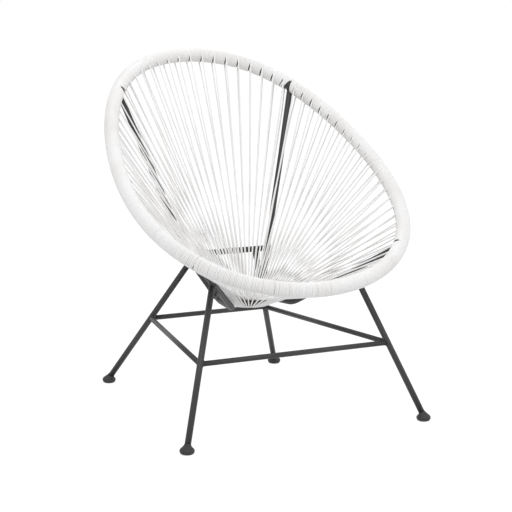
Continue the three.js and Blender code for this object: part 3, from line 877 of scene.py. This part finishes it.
class CHAIR_OT_legs(Operator):
    """Add the four legs with their welds"""

    bl_idname = "chair.legs"
    bl_label = "Add Legs"

    def execute(self, context):
        radius = settings().frame.tube_diameter / 2
        tube = side_tube_path(1.0)
        crossbar = np.array([1.0, 0.0, 0.0])
        for name, (foot, top) in leg_ends().items():
            front = mirrored(tube[1] - tube[0], math.copysign(1.0, foot[0]))
            other = front if "front" in name else crossbar
            bead = weld_bead(top, top - foot, radius, other, radius, seed=foot[1])
            lay_steel(f"{name}_tube", [(rod(foot, top, radius), False), (bead, True)], name)
        return {"FINISHED"}


class CHAIR_OT_stretchers(Operator):
    """Add the four rods between the legs with their welds"""

    bl_idname = "chair.stretchers"
    bl_label = "Add Stretchers"

    def execute(self, context):
        f = settings().frame
        ends = leg_ends()
        pairs = {
            "front_stretcher": ("front_leg_right", "front_leg_left"),
            "rear_stretcher": ("rear_leg_right", "rear_leg_left"),
            "side_stretcher_left": ("front_leg_left", "rear_leg_left"),
            "side_stretcher_right": ("front_leg_right", "rear_leg_right"),
        }
        radius = f.stretcher_diameter / 2
        for name, legs in pairs.items():
            a, b = (at_height(ends[leg], f.stretcher_height) for leg in legs)
            skins = [(rod(a, b, radius), False)]
            for place, other, leg in ((a, b, legs[0]), (b, a, legs[1])):
                bead = weld_bead(place, place - other, radius, ends[leg][1] - ends[leg][0],
                                 f.tube_diameter / 2, seed=9.0 * place[0])
                skins.append((bead, True))
            lay_steel(f"{name}_rod", skins, name)
        return {"FINISHED"}


GLIDE_SIDES = 48
# Share of the rim on the floor, wall at the neck, power of the flare
GLIDE_CONTACT = 0.64
GLIDE_WALL = 0.0010
GLIDE_FLARE = 1.1
# Radius and height of the lip's two rows, from the neck's
GLIDE_LIP = np.array([[-0.0004, -0.0018], [0.0002, -0.0004]])


def glide_rows(foot, rise):
    """Rows of one glide: a bell whose neck leans over to meet the leg.

    Up to the rim the profile is a quarter of an ellipse. Above it the radius falls
    from the rim's to the neck's by half a cosine wave of a power of the height's
    share, and a lip turns in to the leg. Each row is a circle of the profile's radius.
    Its centre follows the leg's axis from the leg's end up, and above the rim its
    plane turns with the share squared until it lies across the leg.
    """
    f = settings().frame
    rim, height, start = f.foot_radius, f.foot_height, f.foot_rim_height
    neck = f.tube_diameter / 2 + GLIDE_WALL
    turn = np.linspace(0.0, np.pi / 2, 9)
    share = np.linspace(0.0, 1.0, 17)[1:]
    flare = 0.5 + 0.5 * np.cos(np.pi * share ** GLIDE_FLARE)
    radii = np.concatenate([
        rim * (GLIDE_CONTACT + (1.0 - GLIDE_CONTACT) * np.sin(turn)),
        neck + (rim - neck) * flare, neck + GLIDE_LIP[0]])
    heights = np.concatenate([
        start * (1.0 - np.cos(turn)), start + (height - start) * share, height + GLIDE_LIP[1]])
    slope = math.acos(rise[2])
    lean = slope * np.clip((heights - start) / (height - start), 0.0, 1.0)[:, None] ** 2
    flat = unit(np.array([rise[0], rise[1], 0.0]))
    drift = math.tan(slope) * np.clip(heights - foot[2], 0.0, None)
    centre = foot * (1.0 - UP) + flat * drift[:, None] + UP * heights[:, None]
    first = flat * np.cos(lean) - UP * np.sin(lean)
    around = circle(GLIDE_SIDES)[:, None]
    outward = first[:, None] * np.cos(around) + np.cross(UP, flat) * np.sin(around)
    return centre[:, None] + radii[:, None, None] * outward


class CHAIR_OT_feet(Operator):
    """Add the four glides"""

    bl_idname = "chair.feet"
    bl_label = "Add Feet"

    def execute(self, context):
        for name, (foot, top) in leg_ends().items():
            rows = glide_rows(foot, unit(top - foot))
            node = name.replace("leg", "foot")
            lay_mesh(f"{node}_glide", [(rows, False)], made(black_glide), [node])
        return {"FINISHED"}


# Plates and bolts of the joints
CORNER_POINTS = 7
HEAD_SIDES = 36
SCREW_SIDES = 24
NUT_SIDES = 48
# Metres, apart from HEAD_UNDERSIDE and SOCKET_RADII, which are shares of the head's radius
PLATE_SINK = 0.0006
PLATE_CLEARANCE = 0.0009
BEVEL = 0.0004
HEAD_UNDERSIDE = 0.6
HEAD_UNDERCUT = 0.0003
HEAD_RIM = 0.0012
SOCKET_RADII = np.array([0.30, 0.26, 0.25])
SOCKET_DEPTHS = np.array([0.0, 0.0004, 0.0017])
SHANK_IN_HEAD = 0.0008
THREAD_PITCH = 0.001
THREAD_DEPTH = 0.00022
THREAD_RUNOUT = 0.0003
NUT_BEVEL = 0.0005
NUT_CLEARANCE = 0.0001


def rounded_outline(corners, radius):
    """A polygon's outline with each corner replaced by a quadratic curve.

    A point of the curve is (1 - t) squared * start + 2 t (1 - t) * corner +
    t squared * end, and start and end lie a radius away from the corner.
    """
    corners = np.array(corners)
    start = corners + unit(np.roll(corners, 1, axis=0) - corners) * radius
    end = corners + unit(np.roll(corners, -1, axis=0) - corners) * radius
    t = np.linspace(0.0, 1.0, CORNER_POINTS)[None, :, None]
    curve = ((1 - t) ** 2 * start[:, None] + 2 * t * (1 - t) * corners[:, None]
             + t ** 2 * end[:, None])
    return curve.reshape(-1, 2)


def plate_rows(outline, low, high):
    """Rows of a flat plate between two heights, with its rims bevelled."""
    middle = outline.mean(axis=0)
    inner = middle + (outline - middle) * (1.0 - BEVEL / np.abs(outline - middle).max())
    levels = ((inner, low), (outline, low + BEVEL), (outline, high - BEVEL), (inner, high))
    return np.stack([np.insert(ring, 2, level, axis=1) for ring, level in levels])


def joint_axes(side):
    """A front joint's axes, along the side tube, down the leg and across, and its origin."""
    foot, top = leg_ends()[f"front_leg_{side}"]
    path = side_tube_path(SIDES[side])
    along = unit(path[1] - path[0])
    down = unit(crosswise(foot - top, along))
    return np.array([along, down, np.cross(along, down)]), top


class CHAIR_OT_plates(Operator):
    """Add the plates of the two front joints"""

    bl_idname = "chair.plates"
    bl_label = "Add Joint Plates"

    def execute(self, context):
        j = settings().joints
        half_gap = settings().lacing.gap / 2
        clear = settings().frame.tube_diameter / 2 - PLATE_SINK
        drop = clear + j.plate_drop
        corner = j.corner_radius
        tube_plate = rounded_outline(
            [[clear + corner, clear], [clear + j.plate_reach, clear],
             [j.bolt_along + corner, drop - corner], [clear + corner, drop - corner]], corner)
        leg_plate = rounded_outline(
            [[clear, clear + PLATE_CLEARANCE],
             [j.bolt_along + 2 * corner, clear + PLATE_CLEARANCE],
             [j.bolt_along + 2 * corner, j.bolt_below + corner], [clear, drop]], corner)
        for side, sign in SIDES.items():
            axes, origin = joint_axes(side)
            for node, outline, layer in (("tube_plate", tube_plate, sign),
                                         ("leg_plate", leg_plate, -sign)):
                faces = sorted([layer * half_gap, layer * (half_gap + j.plate_thickness)])
                rows = plate_rows(outline, *faces) @ axes + origin
                lay_steel(f"{node}_{side}_steel", [(rows, False)], f"{node}_{side}")
        return {"FINISHED"}


def bolt_head(seat, axis):
    """Rows of a button head: a rim, a dome by cosine and sine, and a socket."""
    j = settings().joints
    radius, height = j.head_diameter / 2, j.head_height
    turn = np.radians([0.0, 18.0, 36.0, 54.0, 68.0])
    radii = np.concatenate([[HEAD_UNDERSIDE * radius, radius - HEAD_UNDERCUT, radius],
                            radius * np.cos(turn), radius * SOCKET_RADII])
    heights = np.concatenate([[0.0, 0.0, BEVEL], HEAD_RIM + (height - HEAD_RIM) * np.sin(turn),
                              height - SOCKET_DEPTHS])
    return turned(seat, -axis, radii, heights, HEAD_SIDES)


def bolt_screw(seat, axis, start, tip):
    """Rows of a shank whose thread is a cosine wave from a start to its tip."""
    radius = settings().joints.bolt_diameter / 2
    ridge = np.arange(start, tip - BEVEL, THREAD_PITCH / 4)
    wave = radius - THREAD_DEPTH * (0.5 + 0.5 * np.cos(2 * np.pi * ridge / THREAD_PITCH))
    radii = np.concatenate([[radius, radius], wave, [radius - BEVEL]])
    heights = np.concatenate([[-SHANK_IN_HEAD, start - THREAD_RUNOUT], ridge, [tip]])
    return turned(seat, axis, radii, heights, SCREW_SIDES)


def nut_rows(seat, axis, low, high):
    """Rows of a hexagon nut: half its width / cos of the angle off a face's middle."""
    j = settings().joints
    flat = j.nut_width / 2
    off = np.mod(circle(NUT_SIDES) + np.pi / 6, np.pi / 3) - np.pi / 6
    hexagon = flat / np.cos(off)
    cut = np.minimum(hexagon, flat / math.cos(math.pi / 6) - NUT_BEVEL)
    bore = np.full(NUT_SIDES, j.bolt_diameter / 2 + NUT_CLEARANCE)
    return turned(seat, axis, [bore, cut, hexagon, hexagon, cut, bore],
                  [low, low, low + NUT_BEVEL, high - NUT_BEVEL, high, high], NUT_SIDES)


def add_bolt(name, start, end):
    """A button-head bolt and its nut, through the parts between two faces."""
    j = settings().joints
    gap = settings().lacing.gap
    axis = unit(end - start)
    seat = start - axis * gap
    low = float(np.linalg.norm(end - seat)) + gap
    high = low + j.nut_height
    skins = [(bolt_head(seat, axis), False), (bolt_screw(seat, axis, low, high + j.tail), False)]
    lay_mesh(f"{name}_bolt_steel", skins, made(dark_plating), [f"{name}_bolt"])
    nut = nut_rows(seat, axis, low, high)
    lay_mesh(f"{name}_nut_steel", [(nut, True)], made(dark_plating), [f"{name}_nut"])


class CHAIR_OT_fasteners(Operator):
    """Add the bolts and nuts of the front joints and of the crossbar"""

    bl_idname = "chair.fasteners"
    bl_label = "Add Fasteners"

    def execute(self, context):
        s = settings()
        j = s.joints
        crossing, _, backward = crossing_point()
        radius = s.frame.tube_diameter / 2
        reach = s.frame.tube_diameter + s.lacing.gap + radius
        face = j.plate_thickness + s.lacing.gap / 2
        for side, sign in SIDES.items():
            axes, origin = joint_axes(side)
            start, end = (np.array([j.bolt_along, j.bolt_below, across]) @ axes + origin
                          for across in (sign * face, -sign * face))
            add_bolt(f"front_{side}", start, end)
            on_tube = mirrored(crossing, sign)
            add_bolt(f"rear_{side}", on_tube - backward * radius, on_tube + backward * reach)
        return {"FINISHED"}


# Stage

# Name, place, size, power and colour of each lamp
LAMPS = (
    ("key", (-1.6, -2.6, 3.2), (2.2, 2.2), 50.0, (1.0, 0.995, 0.985)),
    ("top", (0.6, 1.2, 3.4), (3.0, 3.0), 32.0, (0.985, 0.992, 1.0)),
    ("side", (3.2, -1.4, 1.6), (1.6, 2.4), 17.0, (1.0, 1.0, 1.0)),
)
LAMP_AIM = Vector((0.0, 0.0, 0.45))


def direct_rays(tree):
    """A node that gives 1 for rays from the camera, off gloss or through glass."""
    rays = add_node(tree, "ShaderNodeLightPath")
    source, output = rays, "Is Camera Ray"
    for label in ("Is Glossy Ray", "Is Transmission Ray"):
        larger = add_node(tree, "ShaderNodeMath")
        larger.operation = "MAXIMUM"
        wire(tree, (source, output, larger, 0), (rays, label, larger, 1))
        source, output = larger, "Value"
    return source


def stage_floor(size):
    """A pale floor that shows white to direct rays and keeps the chair's soft shadow."""
    half = size / 2
    mesh = bpy.data.meshes.new("floor")
    mesh.from_pydata([(-half, -half, 0.0), (half, -half, 0.0), (half, half, 0.0),
                      (-half, half, 0.0)], [], [(0, 1, 2, 3)])
    mesh.update()
    material, tree, shader = new_material("floor_white", {
        "Base Color": (0.80, 0.80, 0.80, 1.0), "Roughness": 0.9, "Specular IOR Level": 0.0})
    soft = add_node(tree, "ShaderNodeBsdfDiffuse", {"Color": (0.20, 0.20, 0.20, 1.0)})
    glow = add_node(tree, "ShaderNodeEmission", {"Color": (0.87, 0.87, 0.87, 1.0)})
    both = add_node(tree, "ShaderNodeAddShader")
    choose = add_node(tree, "ShaderNodeMixShader")
    wire(tree, (soft, "BSDF", both, 0), (glow, "Emission", both, 1),
         (direct_rays(tree), "Value", choose, "Fac"), (shader, "BSDF", choose, 1),
         (both, "Shader", choose, 2),
         (choose, "Shader", tree.nodes["Material Output"], "Surface"))
    mesh.materials.append(material)
    new_object("floor", mesh)


def stage_world(level):
    """White to direct rays, a softer and faintly blue level for the light itself."""
    world = bpy.data.worlds.new("studio")
    bpy.context.scene.world = world
    world.use_nodes = True
    tree = world.node_tree
    mix = add_node(tree, "ShaderNodeMix")
    mix.data_type = "RGBA"
    fill(mix, {"A": (level, level, level * 1.01, 1.0), "B": (1.0, 1.0, 1.0, 1.0)})
    wire(tree, (direct_rays(tree), "Value", mix, "Factor"),
         (mix, "Result", tree.nodes["Background"], "Color"))


def stage_lamp(name, place, size, power, colour):
    """A large soft lamp that faces the chair."""
    light = bpy.data.lights.new(name, "AREA")
    light.shape = "RECTANGLE"
    light.size, light.size_y = size
    light.energy = power
    light.color = colour
    lamp = new_object(name, light)
    lamp.location = place
    lamp.rotation_euler = (LAMP_AIM - Vector(place)).to_track_quat("-Z", "Y").to_euler()


def stage_camera(s):
    """The camera, from its place, turn, fall and roll."""
    data = bpy.data.cameras.new("camera")
    data.lens = s.lens
    data.sensor_width = 36.0
    data.clip_end = 100.0
    camera = new_object("camera", data)
    a, e = s.azimuth, s.elevation
    back = Vector((math.sin(a) * math.cos(e), -math.cos(a) * math.cos(e), math.sin(e)))
    right = (-back).cross(Vector(UP)).normalized()
    up = right.cross(-back)
    rolled_right = right * math.cos(s.roll) + up * math.sin(s.roll)
    rolled_up = up * math.cos(s.roll) - right * math.sin(s.roll)
    matrix = Matrix((rolled_right, rolled_up, back)).transposed().to_4x4()
    matrix.translation = s.camera_place
    camera.matrix_world = matrix
    bpy.context.scene.camera = camera


class CHAIR_OT_stage(Operator):
    """Add the floor, the soft light and the camera"""

    bl_idname = "chair.stage"
    bl_label = "Add Stage"

    def execute(self, context):
        s = settings().stage
        stage_camera(s)
        stage_floor(s.floor_size)
        stage_world(s.world_level)
        for lamp in LAMPS:
            stage_lamp(*lamp)
        bpy.context.scene.view_settings.view_transform = "Standard"
        return {"FINISHED"}


class CHAIR_PT_panel(Panel):
    """Lists the chair's pieces and sizes"""

    bl_label = "Chair"
    bl_idname = "CHAIR_PT_panel"
    bl_space_type = "VIEW_3D"
    bl_region_type = "UI"
    bl_category = "Chair"

    def draw(self, context):
        for operator in OPERATORS:
            self.layout.operator(operator.bl_idname)
        for group in ChairSettings.__annotations__:
            box = self.layout.box()
            sizes = getattr(context.scene.chair, group)
            for name in sizes.__annotations__:
                box.prop(sizes, name)


GROUPS = (HoopSizes, LacingSizes, FrameSizes, JointSizes, FinishColours, StageSettings,
          ChairSettings)
OPERATORS = (CHAIR_OT_stage, CHAIR_OT_hoop, CHAIR_OT_lower_ring, CHAIR_OT_side_tubes,
             CHAIR_OT_crossbar, CHAIR_OT_legs, CHAIR_OT_stretchers, CHAIR_OT_feet,
             CHAIR_OT_plates, CHAIR_OT_fasteners, CHAIR_OT_lacing)


def register():
    """Register the settings, the operators and the panel."""
    for item in (*GROUPS, *OPERATORS, CHAIR_PT_panel):
        bpy.utils.register_class(item)
    bpy.types.Scene.chair = PointerProperty(type=ChairSettings)


def unregister():
    """Undo what register does."""
    del bpy.types.Scene.chair
    for item in reversed((*GROUPS, *OPERATORS, CHAIR_PT_panel)):
        bpy.utils.unregister_class(item)


def main():
    """Build every piece in order."""
    register()
    bpy.ops.chair.stage()
    bpy.ops.chair.hoop()
    bpy.ops.chair.lower_ring()
    bpy.ops.chair.side_tubes()
    bpy.ops.chair.crossbar()
    bpy.ops.chair.legs()
    bpy.ops.chair.stretchers()
    bpy.ops.chair.feet()
    bpy.ops.chair.plates()
    bpy.ops.chair.fasteners()
    bpy.ops.chair.lacing()


if __name__ == "__main__":
    main()
